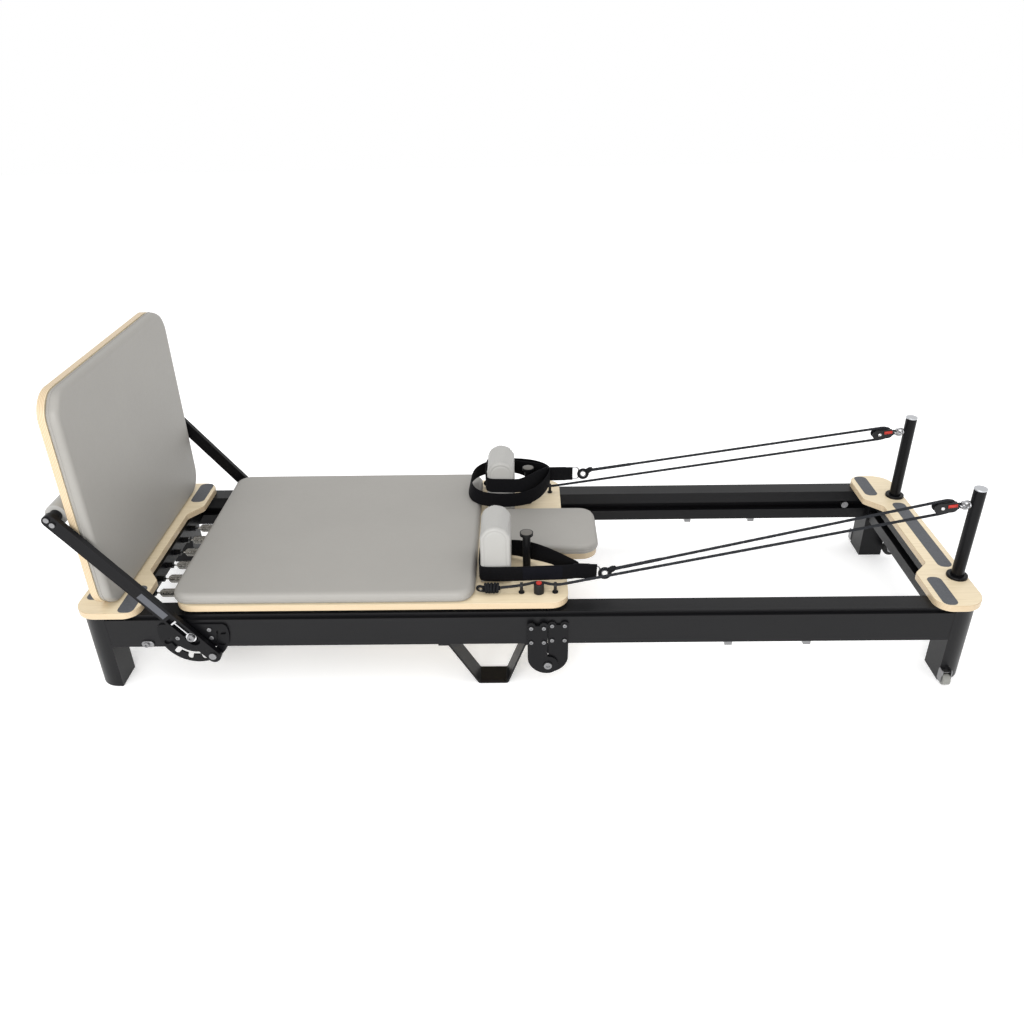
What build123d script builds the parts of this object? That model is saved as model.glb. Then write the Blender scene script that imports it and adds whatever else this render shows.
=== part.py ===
from build123d import *
import os
from math import atan2, cos, degrees, hypot, radians, sin, sqrt

os.makedirs("parts", exist_ok=True)

# A folding pilates reformer, in millimetres. X runs from the foot end to the head end,
# Y across the frame, Z up from the floor. The origin is on the floor under the middle.

# Driving dimensions
DECK_END = 1217          # end decks reach this far each way along X
FRAME_END = 1208         # outer face of the legs and end rails
FRAME_HALF = 365.5       # outer face of the side rails, either side of the middle
RAIL_WIDTH = 67
RAIL_LOW = 138           # underside of the rails above the floor
RAIL_TOP = 237
PLY = 18                 # thickness of every birch board
DECK_HALF = 374
SEAM = 55.7              # X of the fold between the two halves of the frame
FOLD_Z = 72              # height of the fold's pins
CARRIAGE_FOOT, CARRIAGE_HEAD, CARRIAGE_HALF = -948, 112, 355
CARRIAGE_LOW = 246       # underside of the carriage board
JUMP_TOP = 868
JUMP_BACK = -1150
POST_X, POST_Y, POST_TOP = 1188, 232.5, 530
PIVOT_X, PIVOT_Z = -900, 186
ARM_ANGLE = 128          # lean of the footbar arms, degrees above +X
BAR_REACH = 458          # pivot to the middle of the cross bar
ROPE = 8                 # rope diameter

# Sizes worked out from them
DECK_TOP = RAIL_TOP + PLY
CARRIAGE_TOP = CARRIAGE_LOW + PLY
RAIL_INNER = FRAME_HALF - RAIL_WIDTH
RAIL_END = 1134          # rails stop here against the legs
GROOVE_LOW, GROOVE_HIGH, GROOVE_DEPTH = 173, 201, 30
LEG_INNER = 281
LEG_START = RAIL_END + 0.5
SPRING_Z = 190
SPRING_YS = [-183, -110, -37, 37, 110, 183]
SPRING_BAR_X = -1088
SPRING_ANCHOR_X = -440
WHEEL_XS = [-880, 30]
WHEEL_RADIUS = 13
WHEEL_Z = GROOVE_LOW + WHEEL_RADIUS + 0.3
PLATE_FACE = FRAME_HALF + 0.5
PLATE_THICK = 5
HINGE_BOLTS = (11, 45)    # distances of the hinge bolts from the seam
ARM_FACE, ARM_THICK = 376, 15
PULLEY_X, PULLEY_Y, PULLEY_Z, PULLEY_WRAP = 1106, 233, 476, 19
REST_WIDTH, REST_DEPTH, REST_LOW, REST_TOP = 83, 133, 266, 438
PEG_Y, PEG_TOP = 198, 389
CLEAT_Z = 286
HEADREST_HALF = 113
HEADREST_FOOT, HEADREST_HEAD = -95, 206


def box(x, y, z):
    """A block between pairs of limits."""
    size = [high - low for low, high in (x, y, z)]
    return Pos(*[(low + high) / 2 for low, high in (x, y, z)]) * Box(*size)


def rod_x(x, y, z, radius):
    """A round bar along X between the limits x."""
    return Pos((x[0] + x[1]) / 2, y, z) * Rot(0, 90, 0) * Cylinder(radius, x[1] - x[0])


def rod_y(x, y, z, radius):
    """A round bar along Y between the limits y."""
    return Pos(x, (y[0] + y[1]) / 2, z) * Rot(90, 0, 0) * Cylinder(radius, y[1] - y[0])


def rod_z(x, y, z, radius):
    """A round bar along Z between the limits z."""
    return Pos(x, y, (z[0] + z[1]) / 2) * Cylinder(radius, z[1] - z[0])


def opposite(part):
    """The same part on the other side of the machine."""
    return mirror(part, about=Plane.XZ)


def save(name, *solids):
    """Writes one named node as a STEP file."""
    pieces = [piece for solid in solids for piece in solid.solids()]
    export_step(Compound(label=name, children=pieces), f"parts/{name}.step")


def corners_at(sketch, x=None, y=None):
    """Vertices of a plan whose |x| or |y| is the given one."""
    found = sketch.vertices()
    if x is not None:
        found = [v for v in found if abs(abs(v.X) - x) < 0.5]
    if y is not None:
        found = [v for v in found if abs(abs(v.Y) - y) < 0.5]
    return found


# ---------------------------------------------------------------- frame

def rail_section():
    """Section of the side rail on the +Y side: stepped top and an inner track for the wheels."""
    step, drop, wall = 10, 11, 4
    outline = Polyline(
        (RAIL_INNER, RAIL_LOW), (FRAME_HALF, RAIL_LOW),
        (FRAME_HALF, RAIL_TOP - drop), (FRAME_HALF - step, RAIL_TOP - drop),
        (FRAME_HALF - step, RAIL_TOP), (RAIL_INNER, RAIL_TOP),
        (RAIL_INNER, GROOVE_HIGH), (RAIL_INNER + GROOVE_DEPTH, GROOVE_HIGH),
        (RAIL_INNER + GROOVE_DEPTH, GROOVE_LOW), (RAIL_INNER, GROOVE_LOW), close=True)
    track_back = RAIL_INNER + GROOVE_DEPTH
    cells = [
        ((track_back + wall, FRAME_HALF - wall), (RAIL_LOW + wall, RAIL_TOP - drop - wall)),
        ((RAIL_INNER + wall, track_back), (RAIL_LOW + wall, GROOVE_LOW - wall)),
        ((RAIL_INNER + wall, track_back), (GROOVE_HIGH + wall, RAIL_TOP - wall)),
    ]
    section = make_face(outline)
    for (y0, y1), (z0, z1) in cells:
        section -= Pos((y0 + y1) / 2, (z0 + z1) / 2) * Rectangle(y1 - y0, z1 - z0)
    return section


def rail(start, end):
    """A rail of the +Y side between two X positions."""
    return extrude(Plane.YZ.offset(start) * rail_section(), amount=end - start)


def end_rail_head():
    """The head end's cross rail, of the same section, with its track facing the foot end."""
    run = rail(-LEG_INNER + 0.5, LEG_INNER - 0.5)
    return Pos(FRAME_END - FRAME_HALF, 0, 0) * Rot(0, 0, -90) * run


def end_rail_foot():
    """The foot end's cross rail: a plain hollow section that leaves room for the jump board's tongues."""
    depth, wall = 52, 4
    x = (-FRAME_END, -FRAME_END + depth)
    y = (-LEG_INNER + 0.5, LEG_INNER - 0.5)
    outer = box(x, y, (RAIL_LOW, RAIL_TOP))
    return outer - box((x[0] + wall, x[1] - wall), y, (RAIL_LOW + wall, RAIL_TOP - wall))


def leg():
    """Corner leg of the head end's +Y side: a hollow post with a large round outer corner."""
    wall, round_corner = 4, 60
    plan = Pos((LEG_START + FRAME_END) / 2, (LEG_INNER + FRAME_HALF) / 2) * Rectangle(
        FRAME_END - LEG_START, FRAME_HALF - LEG_INNER)
    outer_corner = [v for v in plan.vertices() if v.X > FRAME_END - 1 and v.Y > FRAME_HALF - 1]
    plan = fillet(outer_corner, round_corner)
    inside = offset(plan, -wall)
    return extrude(plan, RAIL_TOP) - extrude(Pos(0, 0, 6) * inside, RAIL_TOP - 12)


def deck(outer, lobe, waist, flare):
    """End deck: full width, with a lobe over each rail joined by a narrower waist."""
    lobe_half = 213
    half = [(outer, DECK_HALF), (lobe, DECK_HALF), (lobe, lobe_half), (waist, flare)]
    plan = make_face(Polyline(*half, *[(x, -y) for x, y in reversed(half)], close=True))
    plan = fillet([v for v in corners_at(plan, y=DECK_HALF) if abs(v.X - outer) < 1], 62)
    plan = fillet([v for v in corners_at(plan, y=DECK_HALF) if abs(v.X - lobe) < 1], 44)
    plan = fillet(corners_at(plan, y=lobe_half) + corners_at(plan, y=flare), 20)
    board = extrude(Pos(0, 0, RAIL_TOP) * plan, PLY)
    return fillet(board.faces().sort_by(Axis.Z)[-1].edges(), 2)


def grip(x, y, width, length):
    """Plan of one grip insert, long across the deck."""
    return Pos(x, y) * RectangleRounded(width, length, 17)


def grips(places):
    """Grip inserts let into a deck's top face."""
    return [extrude(Pos(0, 0, DECK_TOP - 2) * grip(*place), 2.4) for place in places]


def decks():
    """Both end decks with their grip inserts; the foot deck has slots for the jump board's tongues."""
    head_places = [(1119.5, 302, 40, 132), (1119.5, -302, 40, 132), (1180, 0, 40, 372)]
    foot_places = [(-1074, 305, 44, 128), (-1074, -305, 44, 128), (-1184, 0, 40, 616)]
    head_grips = grips(head_places)
    foot_grips = grips(foot_places)
    head = deck(DECK_END, 1083, 1130, 163)
    foot = deck(-DECK_END, -1040, -1078, 160)
    for insert in head_grips:
        head -= insert
    for insert in foot_grips:
        foot -= insert
    for side in (1, -1):
        slot = box((JUMP_BACK - 7, JUMP_BACK + 1), sorted((side * 159, side * 201)), (RAIL_TOP - 1, DECK_TOP + 1))
        foot -= slot
    save("head_deck", head)
    save("foot_deck", foot)
    save("head_deck_grips", *head_grips)
    save("foot_deck_grips", *foot_grips)


def floor_bracket():
    """Bent strip under the +Y foot rail that stands on the floor near the fold."""
    thick = 5
    middle = [(-242, RAIL_LOW - thick / 2), (-213, RAIL_LOW - thick / 2), (-134, thick / 2),
              (-56, thick / 2), (-5, RAIL_LOW - thick / 2), (20, RAIL_LOW - thick / 2)]
    line = FilletPolyline(*middle, radius=7)
    strip = trace(line, line_width=thick)
    placed = Plane.XZ.offset(-FRAME_HALF) * strip
    return extrude(placed, RAIL_WIDTH)


def spring_bar():
    """Cross bar between the foot rails with a holder for each spring's hook."""
    bar = box((SPRING_BAR_X - 10, SPRING_BAR_X), (-RAIL_INNER + 0.2, RAIL_INNER - 0.2), (166, 212))
    for y in SPRING_YS:
        bar += rod_x((SPRING_BAR_X - 2, SPRING_BAR_X + 20), y, SPRING_Z, 9)
    return bar


def spring(y):
    """One coil spring as its outer shape, with a hook wire at each end."""
    start, end = SPRING_BAR_X + 34, SPRING_ANCHOR_X - 15
    body = rod_x((start, end), y, SPRING_Z, 13) - rod_x((start + 3, end - 3), y, SPRING_Z, 9)
    body += rod_x((SPRING_BAR_X + 20, start + 1), y, SPRING_Z, 2.5)
    body += rod_x((end - 1, SPRING_ANCHOR_X), y, SPRING_Z, 2.5)
    return body


def frame():
    """Rails, legs, cross rails and the parts fixed between them."""
    seam_gap = 0.4
    foot_rail = rail(-RAIL_END, SEAM - seam_gap)
    head_rail = rail(SEAM + seam_gap, RAIL_END)
    save("foot_rail_far", foot_rail)
    save("foot_rail_near", opposite(foot_rail))
    save("head_rail_far", head_rail)
    save("head_rail_near", opposite(head_rail))
    save("foot_end_rail", end_rail_foot())
    save("head_end_rail", end_rail_head())
    head_leg = leg()
    foot_leg = mirror(head_leg, about=Plane.YZ)
    save("head_legs", head_leg, opposite(head_leg))
    save("foot_legs", foot_leg, opposite(foot_leg))
    bracket = floor_bracket()
    save("floor_brackets", bracket, opposite(bracket))
    save("spring_bar", spring_bar())
    save("springs", *[spring(y) for y in SPRING_YS])


# ---------------------------------------------------------------- fold

def hinge_plate(way, layer):
    """One leaf of a fold hinge: a bolted pad with a lobe over each bolt, rounded below; way -1 is the foot half's."""
    low, high, width, knuckle, pin, gap = 97, 203, 54, 28.5, 7.05, 1
    pad = Pos(way * (gap + width / 2), (low + high) / 2) * Rectangle(width, high - low)
    pad += Pos(way * gap, low) * Circle(width) & Pos(way * (gap + width / 2), low) * Rectangle(width, 2 * width)
    for x in HINGE_BOLTS:
        pad += Pos(way * x, high) * Circle(11)
    leaf = pad + Pos(0, FOLD_Z) * Circle(knuckle) - Pos(0, FOLD_Z) * Circle(pin)
    return extrude(Plane((SEAM, -layer, 0), (1, 0, 0), (0, -1, 0)) * leaf, PLATE_THICK)


def bolt_heads(places, face, radius, height):
    """Socket-head bolts standing on a -Y face at the given (x, z) places."""
    heads = []
    for x, z in places:
        head = rod_y(x, (-face - height, -face), z, radius)
        head = fillet(head.edges().sort_by(Axis.Y)[0], 1)
        socket = Plane((x, -face - height, z), (1, 0, 0), (0, 1, 0)) * RegularPolygon(radius * 0.5, 6)
        heads.append(head - extrude(socket, min(2.5, height - 1)))
    return heads


def fold_hinges():
    """Hinge leaves, their pins and bolts on both sides, and the bolts of the gear plates."""
    inner, outer = PLATE_FACE, PLATE_FACE + PLATE_THICK + 0.3
    foot_leaf = hinge_plate(-1, outer)
    head_leaf = hinge_plate(1, inner)
    spacer = box((SEAM - 53, SEAM - 8), (-outer, -inner), (RAIL_LOW + 2, 200))
    pin = rod_y(SEAM, (-outer - PLATE_THICK - 0.3, -inner + 0.4), FOLD_Z, 7)
    pin += bolt_heads([(SEAM, FOLD_Z)], outer + PLATE_THICK + 0.3, 11, 6)[0]
    pin += rod_y(SEAM, (-inner + 0.4, -inner + 4), FOLD_Z, 11)
    foot_places = [(SEAM - x, z) for x in HINGE_BOLTS for z in (150, 197)]
    head_places = [(SEAM + x, z) for x in HINGE_BOLTS for z in (153, 201)]
    foot_bolts = bolt_heads(foot_places, outer + PLATE_THICK, 5.5, 4)
    head_bolts = bolt_heads(head_places, inner + PLATE_THICK, 5.5, 4)
    plate_bolts = bolt_heads([(-945, 171), (-855, 198), (-853, 171)], inner + PLATE_THICK, 6, 2.5)
    stud = rod_y(PIVOT_X, (-ARM_FACE - ARM_THICK - 1, -inner - PLATE_THICK), PIVOT_Z, 7)
    stud += bolt_heads([(PIVOT_X, PIVOT_Z)], ARM_FACE + ARM_THICK + 1, 10, 4)[0]
    near_foot = foot_bolts + plate_bolts + [pin, stud]
    stop = rod_y(1061, (-RAIL_INNER - GROOVE_DEPTH, -RAIL_INNER + 2), (GROOVE_LOW + GROOVE_HIGH) / 2, 11)
    near_head = head_bolts + [stop]
    save("foot_hinge_plates", foot_leaf, opposite(foot_leaf), spacer, opposite(spacer))
    save("head_hinge_plates", head_leaf, opposite(head_leaf))
    save("foot_bolts", *near_foot, *[opposite(part) for part in near_foot])
    save("head_bolts", *near_head, *[opposite(part) for part in near_head])


def rail_catches():
    """A rounded catch with its bolt on the lower edge of each foot rail."""
    x, z, face = -1032, 149, FRAME_HALF
    tab = box((x - 17, x + 17), (-face - 5, -face), (z - 10, z + 10))
    catch = fillet(tab.edges().filter_by(Axis.Y), 9.5)
    catch = fillet(catch.faces().sort_by(Axis.Y)[0].edges(), 2)
    catch += bolt_heads([(x - 3, z)], face + 4.5, 8, 5)[0]
    save("rail_catches", catch, opposite(catch))


# ---------------------------------------------------------------- footbar

def gear_plate():
    """Half-round plate on the rail's face with an arc slot and notches for the footbar's pin."""
    radius, flat, slot_in, slot_out = 96, 30, 62, 72
    first, last, pitch, width = -168, -2, 27, 14
    disc = Circle(radius) - Pos(0, flat + radius) * Rectangle(3 * radius, 2 * radius)
    disc = fillet([v for v in disc.vertices() if abs(v.Y - flat) < 1], 14)
    turns = [first + (last - first) * n / 4 for n in range(5)]
    rays = [(2 * radius * cos(radians(a)), 2 * radius * sin(radians(a))) for a in turns]
    sector = make_face(Polyline((0, 0), *rays, close=True))
    disc -= (Circle(slot_out) - Circle(slot_in)) & sector
    for step in range(-4, 3):
        disc -= Rot(0, 0, ARM_ANGLE - 180 + step * pitch) * Pos(76, 0) * SlotOverall(27, width)
    disc -= Circle(7.05)
    return extrude(Plane((PIVOT_X, -PLATE_FACE, PIVOT_Z), (1, 0, 0), (0, -1, 0)) * disc, PLATE_THICK)


def arm_plane(y):
    """Plane along the near footbar arm at -y, with its x axis from the pivot to the cross bar."""
    along = (cos(radians(ARM_ANGLE)), 0, sin(radians(ARM_ANGLE)))
    return Plane((PIVOT_X, -y, PIVOT_Z), along, (0, -1, 0))


def footbar_arm():
    """Near arm: a flat bar, slotted at the pivot so that it can be lifted out of its notch."""
    tip, end, half, lift = -99, 478, 18, 12
    bar = Pos((tip + end) / 2, 0) * Rectangle(end - tip, 2 * half)
    bar = fillet(bar.vertices(), 16)
    slot = Pos(-lift / 2, 0) * SlotOverall(14.1 + lift, 14.1)
    eye_pocket = Pos(-lift / 2, 0) * SlotOverall(31 + lift, 31)
    rod_pocket = Pos(36, 0) * Rectangle(84, 22)
    bolt_holes = Circle(4).moved(Location((449, 0))) + Circle(4).moved(Location((467, 0)))
    bolt_holes += Circle(5).moved(Location((-78, 0)))
    arm = extrude(arm_plane(ARM_FACE) * (bar - slot - bolt_holes), ARM_THICK)
    arm -= extrude(arm_plane(ARM_FACE + ARM_THICK - 9) * (eye_pocket + rod_pocket), 10)
    return arm


def footbar_link():
    """Chrome link in the arm's pocket: an eye round the pivot and a rod with a cross head."""
    level = ARM_FACE + ARM_THICK - 7
    eye = extrude(arm_plane(level) * (Circle(14) - Circle(7.05)), 5)
    along = arm_plane(level + 2.5)
    shaft = along * Pos(36, 0, 0) * Rot(0, 90, 0) * Cylinder(2.4, 46)
    head = along * Pos(61, 0, 0) * Rot(90, 0, 0) * Cylinder(3.5, 18)
    return eye + shaft + head


def footbar():
    """The padded foot bar, its arms, links and the plates that it locks into."""
    bar_x = PIVOT_X + BAR_REACH * cos(radians(ARM_ANGLE))
    bar_z = PIVOT_Z + BAR_REACH * sin(radians(ARM_ANGLE))
    tube = rod_y(bar_x, (-ARM_FACE, ARM_FACE), bar_z, 16) - rod_y(bar_x, (-ARM_FACE, ARM_FACE), bar_z, 13.5)
    sleeve = rod_y(bar_x, (-354, 354), bar_z, 28) - rod_y(bar_x, (-355, 355), bar_z, 16)
    outer = ARM_FACE + ARM_THICK
    bolts = []
    for reach, shank, head in ((449, 4, 7), (467, 4, 7), (-78, 5, 10)):
        place = Pos(reach, 0, 0)
        bolt = arm_plane(ARM_FACE) * place * Pos(0, 0, ARM_THICK / 2) * Cylinder(shank, ARM_THICK)
        bolts.append(bolt + arm_plane(outer) * place * Pos(0, 0, 2) * Cylinder(head, 4))
    arm, link, plate = footbar_arm(), footbar_link(), gear_plate()
    save("footbar_arms", arm, opposite(arm))
    save("footbar_links", link, opposite(link))
    save("gear_plates", plate, opposite(plate))
    save("footbar_tube", tube)
    save("footbar_sleeve", sleeve)
    save("footbar_bolts", *bolts, *[opposite(bolt) for bolt in bolts])


# ---------------------------------------------------------------- jump board

def jump_board():
    """Upright padded board that stands on the foot deck, held by two tongues."""
    low, half, pad_thick, inset = DECK_TOP + 0.5, FRAME_HALF, 34, 1
    height = JUMP_TOP - low
    board_plan = Pos(0, low + height / 2) * RectangleRounded(2 * half, height, 70)
    pad_plan = Pos(0, low + height / 2) * RectangleRounded(2 * (half - inset), height - 2 * inset, 69)
    board = extrude(Plane.YZ.offset(JUMP_BACK) * board_plan, PLY)
    pad = extrude(Plane.YZ.offset(JUMP_BACK + PLY) * pad_plan, pad_thick)
    front = pad.faces().sort_by(Axis.X)[-1]
    tongues = [box((JUMP_BACK - 5, JUMP_BACK), sorted((side * 160, side * 200)), (150, 405)) for side in (1, -1)]
    save("jump_board", board)
    save("jump_board_pad", fillet(front.edges(), 14))
    save("jump_board_tongues", *tongues)


# ---------------------------------------------------------------- carriage

def rest_place(side):
    """Middle of a shoulder rest in X, and the distances of its two faces from the middle of the machine."""
    x, inner = (-75.5, 131) if side > 0 else (-83.5, 125)
    return x, inner, inner + REST_DEPTH


def shoulder_stems(side):
    """Places of a shoulder rest's two stems."""
    x, inner, outer = rest_place(side)
    return [(x, side * (inner + 35)), (x, side * (outer - 35))]


def carriage_board():
    """Birch board with a cut-out for the headrest and holes for the shoulder rests' stems."""
    plan = Pos((CARRIAGE_FOOT + CARRIAGE_HEAD) / 2, 0) * Rectangle(
        CARRIAGE_HEAD - CARRIAGE_FOOT, 2 * CARRIAGE_HALF)
    plan = fillet(plan.vertices(), 50)
    plan -= Pos((HEADREST_FOOT - 2 + CARRIAGE_HEAD + 50) / 2, 0) * Rectangle(
        CARRIAGE_HEAD + 50 - HEADREST_FOOT + 2, 2 * HEADREST_HALF + 5)
    for side in (1, -1):
        for x, y in shoulder_stems(side):
            plan -= Pos(x, y) * Circle(8.3)
    return extrude(Pos(0, 0, CARRIAGE_LOW) * plan, PLY)


def carriage_frame():
    """Steel frame under the board: side channels, cross members, spring anchor and wheel axles."""
    low, side_in, side_out, plate_out = 222, 258, 284, 290
    steel = []
    for side in (1, -1):
        channel = box((-905, 55), sorted((side * side_in, side * side_out)), (low, CARRIAGE_LOW))
        steel.append(channel)
        for x in WHEEL_XS:
            plate = box((x - 20, x + 20), sorted((side * (side_out - 1), side * plate_out)), (172, CARRIAGE_LOW))
            steel.append(plate)
            steel.append(rod_y(x, sorted((side * (side_out - 1), side * 327)), WHEEL_Z, 4))
    for x in (-880, SPRING_ANCHOR_X + 10, 30):
        steel.append(box((x - 14, x + 14), (-side_in - 1, side_in + 1), (low, CARRIAGE_LOW)))
    steel.append(box((SPRING_ANCHOR_X, SPRING_ANCHOR_X + 10), (-210, 210), (176, low + 1)))
    whole = steel[0]
    for piece in steel[1:]:
        whole += piece
    return whole


def load_wheel(x, side):
    """Wheel that rolls in the rail's track."""
    y = sorted((side * 301, side * 325))
    wheel = rod_y(x, y, WHEEL_Z, WHEEL_RADIUS)
    return fillet(wheel.edges(), 2) - rod_y(x, y, WHEEL_Z, 4.05)


def shoulder_rest(side):
    """Padded block with an arched top, on two stems that drop into the board."""
    x, inner, outer = rest_place(side)
    arch = REST_WIDTH / 2
    profile = Pos(x, (REST_LOW + REST_TOP - arch) / 2) * Rectangle(REST_WIDTH, REST_TOP - arch - REST_LOW)
    profile += Pos(x, REST_TOP - arch) * Circle(arch)
    block = extrude(Plane.XZ.offset(-outer) * profile, REST_DEPTH)
    ends = block.faces().sort_by(Axis.Y)
    block = fillet(ends[0].edges() + ends[-1].edges(), 7)
    if side < 0:
        block = opposite(block)
    return [block] + [rod_z(stem_x, y, (192, REST_LOW), 8) for stem_x, y in shoulder_stems(side)]


def headrest():
    """Hinged headrest: a board flush with the carriage board, and its pad."""
    length = HEADREST_HEAD - HEADREST_FOOT
    plan = Pos((HEADREST_FOOT + HEADREST_HEAD) / 2, 0) * Rectangle(length, 2 * HEADREST_HALF)
    plan = fillet([v for v in plan.vertices() if v.X > 0], 48)
    pad_plan = Pos((HEADREST_FOOT + HEADREST_HEAD + 3) / 2, 0) * Rectangle(length + 3, 2 * HEADREST_HALF + 6)
    pad_plan = fillet([v for v in pad_plan.vertices() if v.X > 0], 48)
    pad = extrude(Pos(0, 0, CARRIAGE_TOP + 1) * pad_plan, 30) + extrude(Pos(0, 0, CARRIAGE_TOP) * offset(plan, -4), 2)
    save("headrest_board", extrude(Pos(0, 0, CARRIAGE_LOW) * plan, PLY))
    save("headrest_pad", fillet(pad.faces().sort_by(Axis.Z)[-1].edges(), 12))


def rope_places(side):
    """Foot cleat, knob, head cleat and hank of one side, as (x, y)."""
    near = {"foot": (-14, -305), "knob": (33, -305), "head": (77, -305), "hank": (-102, -305)}
    far = {"foot": (-14, 302), "knob": (33, 294), "head": (80, 265), "hank": (-102, 304)}
    return far if side > 0 else near


def cleat(place):
    """Fairlead on a short stem: the rope passes through its eye."""
    x, y = place
    stem = rod_z(x, y, (CARRIAGE_TOP, CARRIAGE_TOP + 3), 8) + rod_z(x, y, (CARRIAGE_TOP, CLEAT_Z - 7), 4.5)
    eye = rod_x((x - 4, x + 4), y, CLEAT_Z, 9.5)
    return stem + fillet(eye.edges(), 1) - rod_x((x - 9, x + 9), y, CLEAT_Z, 7.8)


def knob(place):
    """Round knob with a recess for its button."""
    x, y = place
    body = rod_z(x, y, (CARRIAGE_TOP, 293), 14)
    return fillet(body.edges().sort_by(Axis.Z)[-1], 2) - rod_z(x, y, (286, 294), 7.7)


def carriage():
    """Everything that rolls with the carriage."""
    pad = box((-954, -141), (-349, 349), (CARRIAGE_TOP, 298))
    pad = fillet(pad.edges().filter_by(Axis.Z), 45)
    pad = fillet(pad.faces().sort_by(Axis.Z)[-1].edges(), 12)
    save("carriage_board", carriage_board())
    save("carriage_pad", pad)
    save("carriage_frame", carriage_frame())
    save("shoulder_rest_far", *shoulder_rest(1))
    save("shoulder_rest_near", *shoulder_rest(-1))
    pegs, fittings, hanks = [], [], []
    for side, name in ((1, "far"), (-1, "near")):
        peg_x = 5 + 4 * side
        pegs.append(rod_z(peg_x, side * PEG_Y, (CARRIAGE_TOP, PEG_TOP - 8), 11)
                    + rod_z(peg_x, side * PEG_Y, (PEG_TOP - 8, PEG_TOP), 18.5))
        places = rope_places(side)
        fittings += [cleat(places["foot"]), cleat(places["head"]), knob(places["knob"])]
        hx, hy = places["hank"]
        hanks.append(box((hx - 32, hx + 31), (hy - 13, hy + 13), (CARRIAGE_TOP, 295)))
        kx, ky = places["knob"]
        save(f"knob_button_{name}", rod_z(kx, ky, (289.5, 296), 7.5))
        for x, end in zip(WHEEL_XS, ("foot", "head")):
            save(f"load_wheel_{end}_{name}", load_wheel(x, side))
    save("strap_pegs", *pegs)
    save("rope_fittings", *fittings)
    save("rope_hanks", *[fillet(hank.edges().filter_by(Axis.X), 8) for hank in hanks])
    headrest()


def band(plan, thick, low, high):
    """A closed strip of webbing that stands round a plan outline."""
    ring = offset(plan, thick) - plan
    return extrude(Pos(0, 0, low) * ring, high - low)


def straps():
    """The two foot straps as they hang on the shoulder rests, each with a tail that ends at its rope's eye."""
    near_plan = make_face(Polyline((-129, -262), (-129, -121), (-40, -121), (126, -246), (126, -259), (-40, -262),
                                   close=True))
    near_plan = fillet([v for v in near_plan.vertices() if v.X < -100], 14)
    near = band(near_plan, 3, 273, 319) + box((127, 191), (-256, -249), (277, 317))
    x, inner, outer = rest_place(1)
    snug = Pos(x, (inner + outer) / 2) * RectangleRounded(REST_WIDTH + 8, REST_DEPTH + 8, 16)
    loose = Pos(-55, 214) * RectangleRounded(256, 204, 96)
    tail = box((76.5, 150), (232, 239), (328, 366))
    save("straps", near, band(snug, 3, 348, 390), band(loose, 3, 300, 342), tail)


# ---------------------------------------------------------------- head end

def posts():
    """Rope posts with collars at the deck and caps at the top."""
    tubes, caps = [], []
    for side in (1, -1):
        y = side * POST_Y
        tubes.append(rod_z(POST_X, y, (DECK_TOP, POST_TOP - 4), 16.5) - rod_z(POST_X, y, (DECK_TOP + 4, POST_TOP), 14))
        collar = rod_z(POST_X, y, (DECK_TOP, DECK_TOP + 8), 28) - rod_z(POST_X, y, (DECK_TOP, DECK_TOP + 8), 16.5)
        tubes.append(fillet(collar.edges().sort_by(Axis.Z)[-2:], 3))
        cap = rod_z(POST_X, y, (POST_TOP - 4, POST_TOP), 17)
        caps.append(fillet(cap.edges().sort_by(Axis.Z)[-1], 1.5))
    save("rope_posts", *tubes)
    save("post_caps", *caps)


def pulleys():
    """Pulley blocks with their sheaves, and the shackles and eye bolts that hold them to the posts."""
    blocks, shackles = [], []
    for side, name in ((1, "far"), (-1, "near")):
        y, eye_z, half = side * PULLEY_Y, PULLEY_Z + 4, 7
        axis = Plane((PULLEY_X, y, PULLEY_Z), (1, 0, 0.12), (0, -1, 0))
        cheek = SlotOverall(62, 29) + Pos(22, 0) * Rectangle(22, 13)
        block = axis * Cylinder(4, 2 * half + 1)
        for level in (half + 0.3, -half - 3.3):
            block += extrude(axis * Pos(0, 0, level) * cheek, 3)
        block += axis * Pos(30.5, 0, 0) * Box(5, 13, 2 * half + 6.6)
        loop_x = PULLEY_X + 35.5
        block += Pos(loop_x, y, eye_z) * Rot(90, 0, 0) * Torus(5.5, 2.25)
        blocks.append(block)
        wheel = axis * Cylinder(PULLEY_WRAP - 0.5, 2 * half)
        wheel -= axis * Torus(PULLEY_WRAP + 1.4, ROPE / 2 + 2)
        save(f"pulley_sheave_{name}", wheel - axis * Cylinder(4.05, 20))
        eye_x = POST_X - 16.5
        ring = Pos(eye_x - 11, y, eye_z) * Rot(90, 0, 0) * Torus(8, 2.5)
        shackles.append(ring + rod_x((eye_x - 2, eye_x - 0.2), y, eye_z, 4))
        start, end, width, wire = loop_x + 0.6, eye_x - 12, 7, 2
        link = FilletPolyline((start, -width), (end, -width), (end, width), (start, width), radius=6.5, close=True)
        shape = Pos(0, y, eye_z) * link
        shackles.append(sweep(Plane(shape @ 0, z_dir=shape % 0) * Circle(wire), path=shape))
    save("pulley_blocks", *blocks)
    save("pulley_shackles", *shackles)


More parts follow.
